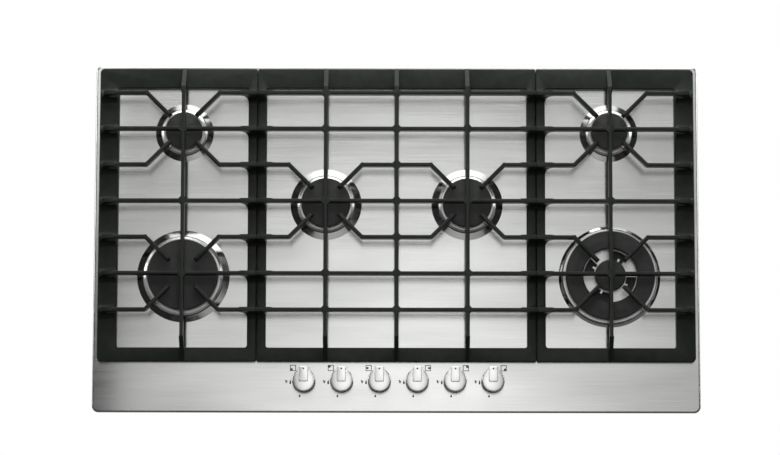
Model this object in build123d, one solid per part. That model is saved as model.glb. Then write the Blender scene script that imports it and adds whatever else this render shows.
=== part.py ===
from build123d import *
import os
from math import cos, radians, sin

# Gas cooktop, 90 cm class, six burners. Millimetres, +Z up, +X to the user's right, +Y to the rear.
# Origin: centre of the top pan, on the plane of the worktop that its rim rests on.

# Top pan: a pressed sheet with a folded-down rim
PAN_WIDTH = 900.0
PAN_DEPTH = 520.0
PAN_TOP = 8.0
PAN_CORNER_R = 9.0
PAN_EDGE_R = 2.6
SHEET = 1.0
PAN_UNDERSIDE = PAN_TOP - SHEET

# Casing hung under the pan
CASING_WIDTH = 860.0
CASING_DEPTH = 480.0
CASING_FLOOR = -48.0
CASING_TOP = 2.0
FLANGE = 8.0
INSIDE_FLOOR = CASING_FLOOR + SHEET
VENT_XS = (-300.0, -260.0, -220.0, -180.0, 150.0, 190.0)
VENT_SIZE = (4.0, 36.0)
VENT_Y = 90.0

# Foam strip between the casing flange and the rim
SEAL_GAP = 0.4
SEAL_RIM_GAP = 1.6
SEAL_HEIGHT = PAN_UNDERSIDE

# Screws: M3.5 class, the same screw for the casing flange and for the clamps
SCREW_R = 1.5
SCREW_HEAD_R = 3.2
SCREW_HEAD_H = 2.0
SCREW_LENGTH = 5.0
SCREW_HOLE_R = 1.8
BOSS_R = 3.5
BOSS_BORE_R = 1.6
CASING_SCREW_XS = (-380.0, -130.0, 130.0, 380.0)
CASING_SCREW_Y = CASING_DEPTH / 2 + FLANGE / 2

# Worktop clamps
CLAMP_XS = (-250.0, 250.0)
CLAMP_WIDTH = 24.0
CLAMP_SHEET = 1.5
CLAMP_REACH = 13.0
CLAMP_LOW = -40.0
CLAMP_HIGH = -10.0
CLAMP_SCREW_Z = -20.0

# Burners: cap radius, crown flange radius, polished ring radius, flame ports
BURNER_SIZES = {
    "aux": (27.5, 34.0, 43.2, 20),
    "semi": (36.5, 42.0, 53.0, 28),
    "rapid": (52.5, 58.6, 68.7, 40),
    "triple": (66.0, 70.8, 75.5, 48),
}
SIDE_X = 316.5
CENTRE_X = 105.0
FRONT_Y = -58.0
MIDDLE_Y = 50.0
REAR_Y = 158.0
BURNERS = {
    "front_left": ("rapid", -SIDE_X, FRONT_Y),
    "rear_left": ("aux", -SIDE_X, REAR_Y),
    "centre_left": ("semi", -CENTRE_X, MIDDLE_Y),
    "centre_right": ("semi", CENTRE_X, MIDDLE_Y),
    "rear_right": ("aux", SIDE_X, REAR_Y),
    "front_right": ("triple", SIDE_X, FRONT_Y),
}

# Heights in the burner stack
CUP_BOTTOM = -26.0
CUP_INSIDE = -18.0
CUP_FLANGE_LOW = 4.5
CUP_TOP = 12.0
CUP_WALL = 2.5
CUP_STUB = 8.0
CROWN_FLOOR = 15.0
CROWN_TOP = 24.0
FLANGE_DROP = 2.2
FLANGE_SLOPE = 3.0
CAP_TOP = 34.0
CAP_EDGE_TOP = 32.4
CAP_RIM_DEPTH = 2.0
PORT_WIDTH = 1.7
PORT_LOW = 18.0
RING_TOP = 11.4
PAN_HOLE_GAP = 0.4
RING_GAP = 0.7

# Triple-ring burner: the annular cap's inner radius, the inner burner and its four webs
OUTER_CAP_INNER_R = 40.0
INNER_CAP_R = 23.0
INNER_PORTS = 16
WEB_ANGLES = (22.5, 112.5, 202.5, 292.5)
GAP_ANGLES = (67.5, 157.5, 247.5, 337.5)
GAP_SPAN = 42.0
GAP_INNER_R = 24.5
GAP_OUTER_R = 39.0

# Electrodes and thermocouples stand beside each cap, on its front diagonals
PROBE_OFFSET = 2.6
PROBE_ANGLE = 45.0
CERAMIC_R = 1.8
THERMO_R = 1.5
NOTCH_R = 2.6

# Taps in a row behind the front edge, each under its knob
TAP_Y = -214.0
TAP_PITCH = 56.0
TAP_ROW_X = 3.0
TAP_XS = [TAP_ROW_X + TAP_PITCH * (i - 2.5) for i in range(6)]
TAP_R = 9.0
TAP_LOW = -44.0
TAP_HIGH = -6.0
NECK_R = 7.0
NECK_BORE_R = 3.6
PLUG_R = 5.0
PLUG_BORE_R = 5.05
PLUG_LOW = -34.0
PLUG_HIGH = -9.0
PLUG_SOCKET_LOW = -22.0
SPINDLE_R = 3.0
SPINDLE_BORE_R = 3.05
SPINDLE_FLAT = 2.2
SPINDLE_LOW = -18.0
SPINDLE_TOP = 26.0
TAP_ORDER = ("front_left", "rear_left", "centre_left", "centre_right", "rear_right", "front_right")

# Gas rail and feed tubes
RAIL_Z = -35.0
RAIL_R = 6.0
RAIL_BORE_R = 4.5
RAIL_Y = -190.0
RAIL_LEFT = -150.0
RAIL_RIGHT = 395.0
RAIL_END_Y = 226.0
RAIL_BEND_R = 22.0
TUBE_Z = -22.0
TUBE_R = 3.0
TUBE_BORE_R = 2.0
TUBE_START_Y = -196.0
TUBE_BEND_R = 12.0
LEAD_Z = -12.0
LEAD_R = 1.1
LEAD_START_Y = -194.0
LEAD_BEND_R = 8.0
SPARK_LEAD_Z = -36.0
SPARK_LEAD_R = 1.4
SPARK_BOOT_R = 2.4
PIN_BOTTOM = -32.0

# Lanes of the pipes and leads of each kind of burner: Y of the feed tube, the thermocouple lead
# and the ignition lead, in front of or behind the burners. Auxiliary burners also use a lane along Y.
LANES = {
    "aux": (-125.0, -115.0, 197.0),
    "semi": (-30.0, -45.0, 189.0),
    "rapid": (-150.0, -140.0, 205.0),
    "triple": (-150.0, -140.0, 205.0),
}
AUX_TUBE_LANE_X = 230.0
AUX_LEAD_LANE_X = 222.0

# Gas inlet: G 1/2 male thread
THREAD_R = 10.48
COLLAR_R = 11.5
THREAD_END_Y = 257.0
UNION_BORE_R = 5.0

# Electrical pieces
GENERATOR = (-36.0, 36.0, 180.0, 215.0, INSIDE_FLOOR, -24.0)
TERMINALS = (200.0, 244.0, 212.0, 232.0, INSIDE_FLOOR, -27.0)
GLAND_X = 222.0
GLAND_Z = -18.0
GLAND_BORE_R = 4.0

# Knobs
KNOB_R = 17.0
KNOB_LOW = 12.6
KNOB_FACE = 30.0
KNOB_DOME = 1.2
KNOB_GRIP_TOP = 35.5
KNOB_HUB_R = 6.5
KNOB_RECESS_R = 14.0
KNOB_RECESS_TOP = 21.0
KNOB_BORE_R = 3.02
GRIP_WIDTH = 13.4
GRIP_FRONT = -2.4
GRIP_REAR = 20.0
KNOB_SEAL = (7.6, 12.0, 3.0)

# Pan supports: low frame bands, raised bars on legs, bent fingers over each burner
FOOT_R = 5.5
BAND_LOW = 12.0
BAND_TOP = 18.0
BAR_LOW = 42.0
BAR_TOP = 54.0
BAR_TOP_WIDTH = 5.0
BAR_LOW_WIDTH = 6.4
BAR_CHAMFER = 0.9
LEG_WIDTH = 6.4
BAR_PITCH = 54.0
SPLIT_X = 207.5
SPLIT_GAP = 0.4
SIDE_OUTER_X = 443.0
SIDE_BAND_X = 414.5
INNER_BAND = 13.5
FRAME_REAR = 254.0
FRAME_REAR_INNER = 224.0
FRAME_FRONT = -186.0
FRAME_FRONT_INNER = -165.0
FRAME_CORNER_R = 7.0
SEAM_CORNER_R = 3.0
BAND_CHAMFER = 1.2
BAR_YS = [MIDDLE_Y + BAR_PITCH * k for k in (3, 2, 1, 0, -1, -2, -3)]
FINGER_BEND = BAR_PITCH
FINGER_TIP = 18.7
KNOT_SIDE = 12.0
TIP_SLOPE = (3.0, 4.5)

# Legs: where the outer slope leaves the bar's top and reaches the band, the hollow under the bar, and
# the ridge that spreads the foot of a side leg onto its band
LEG_SETBACK = 2.0
REAR_SLOPE_TOP = 221.6
REAR_HOLLOW_R = 14.0
FRONT_SLOPE_TOP = 152.0
FRONT_HOLLOW_R = 16.0
OUTER_LEG_INNER = 428.0
OUTER_SLOPE_TOP = 434.0
OUTER_SLOPE_LOW = 440.6
SIDE_HOLLOW_R = 10.0
SPREAD = 9.0
SPREAD_INSET = 1.5

# Rubber feet: distances of their axes from the frame's outer, front and rear edges
FOOT_SIDE_INSET = 14.0
FOOT_FRONT_INSET = 11.0
FOOT_REAR_INSET = 12.0

RIGHT = Vector(1, 0, 0)
LEFT = Vector(-1, 0, 0)
REAR = Vector(0, 1, 0)
FRONT = Vector(0, -1, 0)


def cylinder(x, y, z_low, z_high, radius):
    """Upright cylinder between two heights."""
    return Pos(x, y, (z_low + z_high) / 2) * Cylinder(radius, z_high - z_low)


def cylinder_y(x, z, y_low, y_high, radius):
    """Cylinder along Y."""
    return Pos(x, (y_low + y_high) / 2, z) * Rot(90, 0, 0) * Cylinder(radius, y_high - y_low)


def cylinder_out(x, y, z, angle, r_low, r_high, radius):
    """Horizontal cylinder that runs outwards from (x, y), between two distances, at an angle."""
    middle = (r_low + r_high) / 2
    return Pos(x, y, z) * Rot(0, 0, angle) * Pos(middle, 0, 0) * Rot(0, 90, 0) * Cylinder(radius, r_high - r_low)


def block(x_low, x_high, y_low, y_high, z_low, z_high):
    """Box between two corners."""
    centre = Pos((x_low + x_high) / 2, (y_low + y_high) / 2, (z_low + z_high) / 2)
    return centre * Box(x_high - x_low, y_high - y_low, z_high - z_low)


def plate(width, depth, corner, z_low, z_high):
    """Flat plate with rounded corners, centred on the origin."""
    return Pos(0, 0, z_low) * extrude(RectangleRounded(width, depth, corner), amount=z_high - z_low)


def turned(x, y, outline):
    """Solid of revolution about an upright axis at (x, y), from an outline of (radius, height)."""
    face = make_face(Polyline(*[(r, 0, z) for r, z in outline], close=True))
    return Pos(x, y, 0) * revolve(face, Axis.Z)


def bent_rod(points, bend_r, radius):
    """Round rod through the points, with tangent arcs at the bends."""
    path = FilletPolyline(*points, radius=bend_r)
    section = Plane(origin=path @ 0, z_dir=path % 0) * Circle(radius)
    return sweep(section, path=path)


def polar(x, y, radius, angle):
    """Point at a distance and an angle from (x, y)."""
    return x + radius * cos(radians(angle)), y + radius * sin(radians(angle))


def joined(pieces):
    """One solid made of overlapping pieces."""
    return Part() + pieces


def group(pieces):
    """One node made of separate solids."""
    return Compound(children=[piece.solid() for piece in pieces])


def write(name, shape):
    """One STEP file per node."""
    export_step(shape, f"parts/{name}.step")


# ---------------------------------------------------------------- pan, casing, seal, fixings


def screw_places():
    """Axis points of the casing screws."""
    return [(x, side * CASING_SCREW_Y) for side in (-1, 1) for x in CASING_SCREW_XS]


def make_top_pan():
    """Pressed sheet with burner and spindle holes, and bosses for the casing screws."""
    outer = plate(PAN_WIDTH, PAN_DEPTH, PAN_CORNER_R, 0, PAN_TOP)
    outer = fillet(outer.edges().group_by(Axis.Z)[-1], PAN_EDGE_R)
    inner = plate(PAN_WIDTH - 2 * SHEET, PAN_DEPTH - 2 * SHEET, PAN_CORNER_R - SHEET, 0, PAN_UNDERSIDE)
    inner = fillet(inner.edges().group_by(Axis.Z)[-1], PAN_EDGE_R - SHEET)
    pan = outer - inner
    bosses = [cylinder(x, y, CASING_TOP, PAN_UNDERSIDE + SHEET / 2, BOSS_R) for x, y in screw_places()]
    bores = [cylinder(x, y, CASING_TOP, PAN_UNDERSIDE - 0.2, BOSS_BORE_R) for x, y in screw_places()]
    holes = [cylinder(x, TAP_Y, 0, 2 * PAN_TOP, NECK_BORE_R + 1) for x in TAP_XS]
    for kind, x, y in BURNERS.values():
        flange_r = BURNER_SIZES[kind][1]
        holes.append(cylinder(x, y, 0, 2 * PAN_TOP, flange_r + PAN_HOLE_GAP))
    return joined([pan] + bosses) - (bores + holes)


def make_bottom_casing():
    """Welded sheet box: a floor with vents, and four walls, each with an outward flange."""
    x_out = CASING_WIDTH / 2
    y_out = CASING_DEPTH / 2
    y_in = y_out - SHEET
    low = CASING_TOP - SHEET
    screw_holes = [cylinder(x, y, 0, 2 * CASING_TOP, SCREW_HOLE_R) for x, y in screw_places()]
    vents = []
    for x in VENT_XS:
        vent = extrude(SlotOverall(VENT_SIZE[1], VENT_SIZE[0], rotation=90), amount=3 * SHEET)
        vents.append(Pos(x, VENT_Y, CASING_FLOOR - SHEET) * vent)
    sheets = [block(-x_out, x_out, -y_out, y_out, CASING_FLOOR, INSIDE_FLOOR) - vents]
    for side in (-1, 1):
        wall = block(-x_out, x_out, *sorted((side * y_in, side * y_out)), INSIDE_FLOOR, CASING_TOP)
        y_low, y_high = sorted((side * y_in, side * (y_out + FLANGE)))
        flange = block(-x_out - FLANGE, x_out + FLANGE, y_low, y_high, low, CASING_TOP)
        y_low, y_high = sorted((side * (y_in - SHEET), side * (y_out + SHEET)))
        holes = [cylinder_y(x, CLAMP_SCREW_Z, y_low, y_high, SCREW_HOLE_R) for x in CLAMP_XS]
        if side > 0:
            holes.append(cylinder_y(RAIL_RIGHT, RAIL_Z, y_low, y_high, THREAD_R + 0.2))
            holes.append(cylinder_y(GLAND_X, GLAND_Z, y_low, y_high, GLAND_BORE_R + 3.2))
        sheets.append(joined([wall, flange]) - (holes + screw_holes))
        end = block(*sorted((side * (x_out - SHEET), side * x_out)), -y_in, y_in, INSIDE_FLOOR, CASING_TOP)
        x_low, x_high = sorted((side * (x_out - SHEET), side * (x_out + FLANGE)))
        sheets.append(joined([end, block(x_low, x_high, -y_in, y_in, low, CASING_TOP)]))
    return group(sheets)


def make_worktop_seal():
    """Four foam strips under the rim, butted at the corners."""
    x_in = CASING_WIDTH / 2 + FLANGE + SEAL_GAP
    x_out = PAN_WIDTH / 2 - SHEET - SEAL_RIM_GAP
    y_in = CASING_DEPTH / 2 + FLANGE + SEAL_GAP
    y_out = PAN_DEPTH / 2 - SHEET - SEAL_RIM_GAP
    corner = PAN_CORNER_R
    top = SEAL_HEIGHT - SEAL_GAP
    strips = []
    for side in (-1, 1):
        y_low, y_high = sorted((side * y_in, side * y_out))
        x_low, x_high = sorted((side * x_in, side * x_out))
        strips.append(block(-x_out + corner, x_out - corner, y_low, y_high, 0, top))
        strips.append(block(x_low, x_high, -y_in + SEAL_GAP, y_in - SEAL_GAP, 0, top))
    return group(strips)


def make_clamp_brackets():
    """Four angle brackets on the front and rear walls that reach under the worktop."""
    wall = CASING_DEPTH / 2
    brackets = []
    for x in CLAMP_XS:
        x_low = x - CLAMP_WIDTH / 2
        x_high = x + CLAMP_WIDTH / 2
        upright = block(x_low, x_high, wall, wall + CLAMP_SHEET, CLAMP_LOW, CLAMP_HIGH)
        foot = block(x_low, x_high, wall, wall + CLAMP_REACH, CLAMP_LOW, CLAMP_LOW + CLAMP_SHEET)
        hole = cylinder_y(x, CLAMP_SCREW_Z, wall - 1, wall + 2 * CLAMP_SHEET, SCREW_HOLE_R)
        bracket = joined([upright, foot]) - hole
        brackets += [bracket, mirror(bracket, Plane.XZ)]
    return group(brackets)


def make_fixing_screws():
    """Pan-head screws: eight up through the casing flange, four through the clamps."""
    screws = []
    head_top = CASING_TOP - SHEET
    for x, y in screw_places():
        head = cylinder(x, y, head_top - SCREW_HEAD_H, head_top, SCREW_HEAD_R)
        screws.append(head + cylinder(x, y, head_top, head_top + SCREW_LENGTH, SCREW_R))
    face = CASING_DEPTH / 2 + CLAMP_SHEET
    for x in CLAMP_XS:
        head = cylinder_y(x, CLAMP_SCREW_Z, face, face + SCREW_HEAD_H, SCREW_HEAD_R)
        screw = head + cylinder_y(x, CLAMP_SCREW_Z, face - SCREW_LENGTH, face, SCREW_R)
        screws += [screw, mirror(screw, Plane.XZ)]
    return group(screws)


# ---------------------------------------------------------------- burners


def probe_places(name):
    """Angles of the electrode and the thermocouple of a burner: outer and inner front diagonals."""
    x = BURNERS[name][1]
    outer_angle, inner_angle = -180 + PROBE_ANGLE, -PROBE_ANGLE
    return (outer_angle, inner_angle) if x < 0 else (inner_angle, outer_angle)


def probe_points(name):
    """Axis points of the electrode and the thermocouple."""
    kind, x, y = BURNERS[name]
    radius = BURNER_SIZES[kind][0] + PROBE_OFFSET
    return [polar(x, y, radius, angle) for angle in probe_places(name)]


def inlet_angle(name):
    """The side of the cup on which its feed tube arrives."""
    kind, x, _ = BURNERS[name]
    if kind != "aux":
        return -90
    return 0 if x < 0 else 180


def make_ring(name):
    """Polished ring round the crown: a cone that drains towards the pan."""
    kind, x, y = BURNERS[name]
    _, flange_r, ring_r, _ = BURNER_SIZES[kind]
    inner_r = flange_r + RING_GAP
    width = ring_r - inner_r
    height = RING_TOP - PAN_TOP
    outline = [
        (inner_r, PAN_TOP),
        (ring_r, PAN_TOP),
        (ring_r, PAN_TOP + 0.15 * height),
        (inner_r + 0.08 * width, RING_TOP),
        (inner_r, RING_TOP - 0.1 * height),
    ]
    return turned(x, y, outline)


def make_cup(name):
    """Die-cast cup clamped under the pan, with a shoulder for the crown and an inlet stub."""
    kind, x, y = BURNERS[name]
    cap_r, flange_r, _, _ = BURNER_SIZES[kind]
    body_r = cap_r - 6
    inside_r = body_r - CUP_WALL
    outline = [
        (0, CUP_BOTTOM),
        (body_r, CUP_BOTTOM),
        (body_r, CUP_FLANGE_LOW),
        (flange_r + 6, CUP_FLANGE_LOW),
        (flange_r + 6, PAN_UNDERSIDE),
        (flange_r, PAN_UNDERSIDE),
        (flange_r, CUP_TOP),
        (inside_r, CUP_TOP),
        (inside_r, CUP_INSIDE),
        (0, CUP_INSIDE),
    ]
    angle = inlet_angle(name)
    stub = cylinder_out(x, y, TUBE_Z, angle, body_r - 1, body_r + CUP_STUB, TUBE_R + 1)
    channel = cylinder_out(x, y, TUBE_Z, angle, 0, body_r + CUP_STUB + 1, TUBE_BORE_R)
    jet_seat = cylinder(x, y, CUP_BOTTOM + 1, CUP_INSIDE + 1, SPINDLE_BORE_R)
    (ex, ey), (tx, ty) = probe_points(name)
    probe_holes = [
        cylinder(ex, ey, 0, 2 * CUP_TOP, CERAMIC_R + 0.1),
        cylinder(tx, ty, 0, 2 * CUP_TOP, THERMO_R + 0.1),
    ]
    return (turned(x, y, outline) + stub) - ([channel, jet_seat] + probe_holes)


def make_jet(name):
    """Brass injector screwed into the bottom of the cup."""
    _, x, y = BURNERS[name]
    hexagon = Pos(x, y, CUP_INSIDE) * extrude(RegularPolygon(5.0, 6), amount=9)
    spigot = cylinder(x, y, CUP_BOTTOM + 2, CUP_INSIDE, SPINDLE_R)
    return joined([hexagon, spigot]) - cylinder(x, y, CUP_BOTTOM, 0, 0.6)


def port_slots(x, y, wall_r, count):
    """Radial slots for the flame ports, all round a crown wall."""
    slots = []
    for i in range(count):
        slot = Pos(wall_r, 0, (PORT_LOW + CROWN_TOP) / 2 + 0.5) * Box(14, PORT_WIDTH, CROWN_TOP - PORT_LOW + 1)
        slots.append(Pos(x, y, 0) * Rot(0, 0, (i + 0.5) * 360 / count) * slot)
    return slots


def probe_notches(name):
    """Notches in the crown flange that clear the electrode and the thermocouple."""
    _, x, y = BURNERS[name]
    notches = []
    for (px, py), angle in zip(probe_points(name), probe_places(name)):
        notches.append(cylinder(px, py, CUP_TOP - 1, CROWN_FLOOR + 1, NOTCH_R))
        slot = Pos(NOTCH_R, 0, (CUP_TOP + CROWN_FLOOR) / 2) * Box(2 * NOTCH_R, 2 * NOTCH_R, CROWN_FLOOR)
        notches.append(Pos(px, py, 0) * Rot(0, 0, angle) * slot)
    return notches


def make_crown(name):
    """Aluminium flame crown: mixing tube, flange, and a ported wall that the cap closes."""
    kind, x, y = BURNERS[name]
    cap_r, flange_r, _, ports = BURNER_SIZES[kind]
    outline = [
        (6.0, -4.0),
        (8.5, -4.0),
        (8.5, CUP_TOP),
        (flange_r, CUP_TOP),
        (flange_r, CROWN_FLOOR - FLANGE_DROP),
        (flange_r - FLANGE_SLOPE, CROWN_FLOOR),
        (cap_r - 3, CROWN_FLOOR),
        (cap_r - 3, CROWN_TOP),
        (cap_r - 8, CROWN_TOP),
        (cap_r - 8, CROWN_FLOOR),
        (6.0, CROWN_FLOOR),
    ]
    return turned(x, y, outline) - (port_slots(x, y, cap_r - 5.5, ports) + probe_notches(name))


def make_cap(name):
    """Enamelled lid with a domed top, a rounded edge and a locating rim."""
    kind, x, y = BURNERS[name]
    cap_r = BURNER_SIZES[kind][0]
    rim_r = cap_r - 8.5
    outline = [
        (0, CROWN_TOP + 4),
        (rim_r - 3, CROWN_TOP + 4),
        (rim_r - 3, CROWN_TOP - CAP_RIM_DEPTH),
        (rim_r, CROWN_TOP - CAP_RIM_DEPTH),
        (rim_r, CROWN_TOP),
        (cap_r - 0.8, CROWN_TOP),
        (cap_r, CROWN_TOP + 0.8),
        (cap_r, CAP_EDGE_TOP - 1.6),
        (cap_r - 0.5, CAP_EDGE_TOP - 0.5),
        (cap_r - 1.6, CAP_EDGE_TOP),
        (0.5 * cap_r, CAP_TOP - 0.3),
        (0, CAP_TOP),
    ]
    return turned(x, y, outline)


def sector(x, y, r_in, r_out, angle, span, z_low, z_high):
    """Part of a ring between two radii, centred on an angle."""
    outline = [(r_in, z_low), (r_out, z_low), (r_out, z_high), (r_in, z_high)]
    face = make_face(Polyline(*[(r, 0, z) for r, z in outline], close=True))
    return Pos(x, y, 0) * Rot(0, 0, angle - span / 2) * revolve(face, Axis.Z, revolution_arc=span)


def make_triple_crown(name):
    """Triple-ring crown: an outer ported ring joined by four webs to a small inner burner."""
    kind, x, y = BURNERS[name]
    cap_r, flange_r, _, ports = BURNER_SIZES[kind]
    walls = [
        (cap_r - 3, cap_r - 8),
        (OUTER_CAP_INNER_R + 8, OUTER_CAP_INNER_R + 3),
        (INNER_CAP_R - 2, INNER_CAP_R - 6),
    ]
    floor = [
        (6.0, -4.0),
        (8.5, -4.0),
        (8.5, CUP_TOP),
        (flange_r, CUP_TOP),
        (flange_r, CROWN_FLOOR - FLANGE_DROP),
        (flange_r - FLANGE_SLOPE / 2, CROWN_FLOOR),
        (6.0, CROWN_FLOOR),
    ]
    pieces = [turned(x, y, floor)]
    for r_out, r_in in walls:
        pieces.append(cylinder(x, y, CROWN_FLOOR - 1, CROWN_TOP, r_out) - cylinder(x, y, 0, 2 * CROWN_TOP, r_in))
    for web_angle, gap_angle in zip(WEB_ANGLES, GAP_ANGLES):
        stud_x, stud_y = polar(x, y, GAP_OUTER_R - 1.5, web_angle - 6)
        pieces.append(cylinder(stud_x, stud_y, CROWN_FLOOR - 1, CROWN_FLOOR + 4, 1.4))
        tab = Pos(GAP_INNER_R, 0, CROWN_FLOOR + 1) * Box(9, 3, 4)
        pieces.append(Pos(x, y, 0) * Rot(0, 0, gap_angle - 6) * tab)
    gaps = [
        sector(x, y, GAP_INNER_R, GAP_OUTER_R, angle, GAP_SPAN, CUP_TOP - 1, CROWN_FLOOR) for angle in GAP_ANGLES
    ]
    slots = port_slots(x, y, cap_r - 5.5, ports)
    slots += port_slots(x, y, INNER_CAP_R - 4, INNER_PORTS)
    body = pieces[0] - gaps
    return joined([body] + pieces[1:]) - (slots + probe_notches(name))


def make_outer_cap(name):
    """Annular lid of the triple-ring burner."""
    kind, x, y = BURNERS[name]
    cap_r = BURNER_SIZES[kind][0]
    inner_r = OUTER_CAP_INNER_R
    outline = [
        (inner_r + 0.6, CROWN_TOP),
        (cap_r - 0.8, CROWN_TOP),
        (cap_r, CROWN_TOP + 0.8),
        (cap_r, CAP_EDGE_TOP - 1.6),
        (cap_r - 0.5, CAP_EDGE_TOP - 0.5),
        (cap_r - 1.6, CAP_EDGE_TOP),
        (0.5 * (cap_r + inner_r), CAP_EDGE_TOP + 0.6),
        (inner_r + 1.6, CAP_EDGE_TOP),
        (inner_r + 0.4, CAP_EDGE_TOP - 0.6),
        (inner_r, CAP_EDGE_TOP - 1.8),
        (inner_r, CROWN_TOP + 0.8),
    ]
    rim = cylinder(x, y, CROWN_TOP - CAP_RIM_DEPTH, CROWN_TOP + 1, cap_r - 8.5) - cylinder(
        x, y, 0, 2 * CROWN_TOP, cap_r - 10.5
    )
    return turned(x, y, outline) + rim


def make_inner_cap(name):
    """Small lid in the middle of the triple-ring burner."""
    _, x, y = BURNERS[name]
    rim_r = INNER_CAP_R - 6.5
    outline = [
        (0, CROWN_TOP + 3),
        (rim_r - 2, CROWN_TOP + 3),
        (rim_r - 2, CROWN_TOP - CAP_RIM_DEPTH),
        (rim_r, CROWN_TOP - CAP_RIM_DEPTH),
        (rim_r, CROWN_TOP),
        (INNER_CAP_R - 0.8, CROWN_TOP),
        (INNER_CAP_R, CROWN_TOP + 0.8),
        (INNER_CAP_R, CAP_EDGE_TOP - 2.4),
        (INNER_CAP_R - 1.6, CAP_EDGE_TOP - 0.8),
        (0, CAP_EDGE_TOP),
    ]
    return turned(x, y, outline)


def make_electrode(name):
    """Spark electrode: ceramic rod with a steel tip above and a pin below."""
    (x, y), _ = probe_points(name)
    ceramic = cylinder(x, y, CUP_INSIDE, CROWN_FLOOR + 4, CERAMIC_R)
    return ceramic + cylinder(x, y, PIN_BOTTOM, CROWN_TOP - 1, CERAMIC_R / 2)


def make_thermocouple(name, tap_x):
    """Flame-failure probe and its copper lead to the tap's magnet boss."""
    _, (x, y) = probe_points(name)
    kind = BURNERS[name][0]
    rod = cylinder(x, y, LEAD_Z - LEAD_R, CROWN_TOP - 1, THERMO_R)
    end = (tap_x, LEAD_START_Y)
    lane_y = LANES[kind][1]
    if kind == "aux":
        lane_x = -AUX_LEAD_LANE_X if x < 0 else AUX_LEAD_LANE_X
        route = [(x, y), (lane_x, y), (lane_x, lane_y), (tap_x, lane_y), end]
    else:
        route = [(x, y), (x, lane_y), (tap_x, lane_y), end]
    return rod + bent_rod([(px, py, LEAD_Z) for px, py in route], LEAD_BEND_R, LEAD_R)


def make_spark_lead(name):
    """High-voltage lead from an electrode's pin to the spark generator, along the floor."""
    (x, y), _ = probe_points(name)
    lane_y = LANES[BURNERS[name][0]][2]
    end_x = GENERATOR[0] if x < 0 else GENERATOR[1]
    route = [(x, y), (x, lane_y), (end_x, lane_y)]
    boot = cylinder(x, y, SPARK_LEAD_Z - SPARK_LEAD_R, PIN_BOTTOM, SPARK_BOOT_R)
    return boot + bent_rod([(px, py, SPARK_LEAD_Z) for px, py in route], LEAD_BEND_R, SPARK_LEAD_R)


# ---------------------------------------------------------------- gas supply


def rail_path(radius):
    """The rail's run: behind the taps, then back along the right-hand wall."""
    points = [(RAIL_LEFT, RAIL_Y, RAIL_Z), (RAIL_RIGHT, RAIL_Y, RAIL_Z), (RAIL_RIGHT, RAIL_END_Y, RAIL_Z)]
    return bent_rod(points, RAIL_BEND_R, radius)


def make_gas_rail():
    """Steel tube that feeds all the taps, closed at its left end."""
    end_cap = Pos(RAIL_LEFT - 1, RAIL_Y, RAIL_Z) * Rot(0, 90, 0) * Cylinder(RAIL_R, 2)
    return (rail_path(RAIL_R) - rail_path(RAIL_BORE_R)) + end_cap


def make_tap_body(x):
    """Brass tap: plug chamber, neck up to the pan, saddle on the rail, outlet and magnet bosses."""
    chamber = cylinder(x, TAP_Y, TAP_LOW, TAP_HIGH, TAP_R)
    neck = cylinder(x, TAP_Y, TAP_HIGH - 1, PAN_UNDERSIDE, NECK_R)
    saddle = block(x - TAP_R, x + TAP_R, TAP_Y + 4, RAIL_Y, TAP_LOW, RAIL_Z + RAIL_R + 1)
    outlet = cylinder_y(x, TUBE_Z, TAP_Y, TUBE_START_Y, TUBE_R + 1)
    magnet = cylinder_y(x, LEAD_Z, TAP_Y, LEAD_START_Y, 3.5)
    body = joined([chamber, neck, saddle, outlet, magnet])
    cuts = [
        cylinder(x, TAP_Y, PLUG_LOW, TAP_HIGH - 2, PLUG_BORE_R),
        cylinder(x, TAP_Y, PLUG_LOW, PAN_TOP, NECK_BORE_R),
        Pos(x, RAIL_Y, RAIL_Z) * Rot(0, 90, 0) * Cylinder(RAIL_R + 0.05, 4 * TAP_R),
        cylinder_y(x, TUBE_Z, TAP_Y, TUBE_START_Y + 1, TUBE_BORE_R),
    ]
    return body - cuts


def d_rod(x, z_low, z_high, radius, flat):
    """Upright rod with one flat, on its rear side."""
    rod = cylinder(x, TAP_Y, z_low, z_high, radius)
    return rod - block(x - 5, x + 5, TAP_Y + flat, TAP_Y + 5, z_low - 1, z_high + 1)


def make_tap_plug(x):
    """Plug that opens the gas way as it turns, with a socket for the spindle."""
    plug = cylinder(x, TAP_Y, PLUG_LOW, PLUG_HIGH, PLUG_R)
    socket = d_rod(x, PLUG_SOCKET_LOW, PLUG_HIGH + 1, SPINDLE_BORE_R, SPINDLE_FLAT + 0.05)
    gas_way = cylinder_out(x, TAP_Y, -28, 0, -6, 6, 1.5)
    return plug - [socket, gas_way]


def make_spindle(x):
    """Steel spindle with a flat, which slides down in the plug when the knob is pressed."""
    return d_rod(x, SPINDLE_LOW, SPINDLE_TOP, SPINDLE_R, SPINDLE_FLAT)


def tube_route(name, tap_x):
    """Plan route of a feed tube from its tap to its burner cup."""
    kind, x, y = BURNERS[name]
    body_r = BURNER_SIZES[kind][0] - 6
    start = (tap_x, TUBE_START_Y)
    lane_y = LANES[kind][0]
    if kind == "aux":
        side = -1 if x < 0 else 1
        lane_x = side * AUX_TUBE_LANE_X
        end = (x - side * (body_r + CUP_STUB), y)
        return [start, (tap_x, lane_y), (lane_x, lane_y), (lane_x, y), end]
    return [start, (tap_x, lane_y), (x, lane_y), (x, y - body_r - CUP_STUB)]


def make_feed_tube(name, tap_x):
    """Aluminium tube from a tap's outlet to a cup's inlet stub."""
    points = [(x, y, TUBE_Z) for x, y in tube_route(name, tap_x)]
    return bent_rod(points, TUBE_BEND_R, TUBE_R) - bent_rod(points, TUBE_BEND_R, TUBE_BORE_R)


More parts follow.
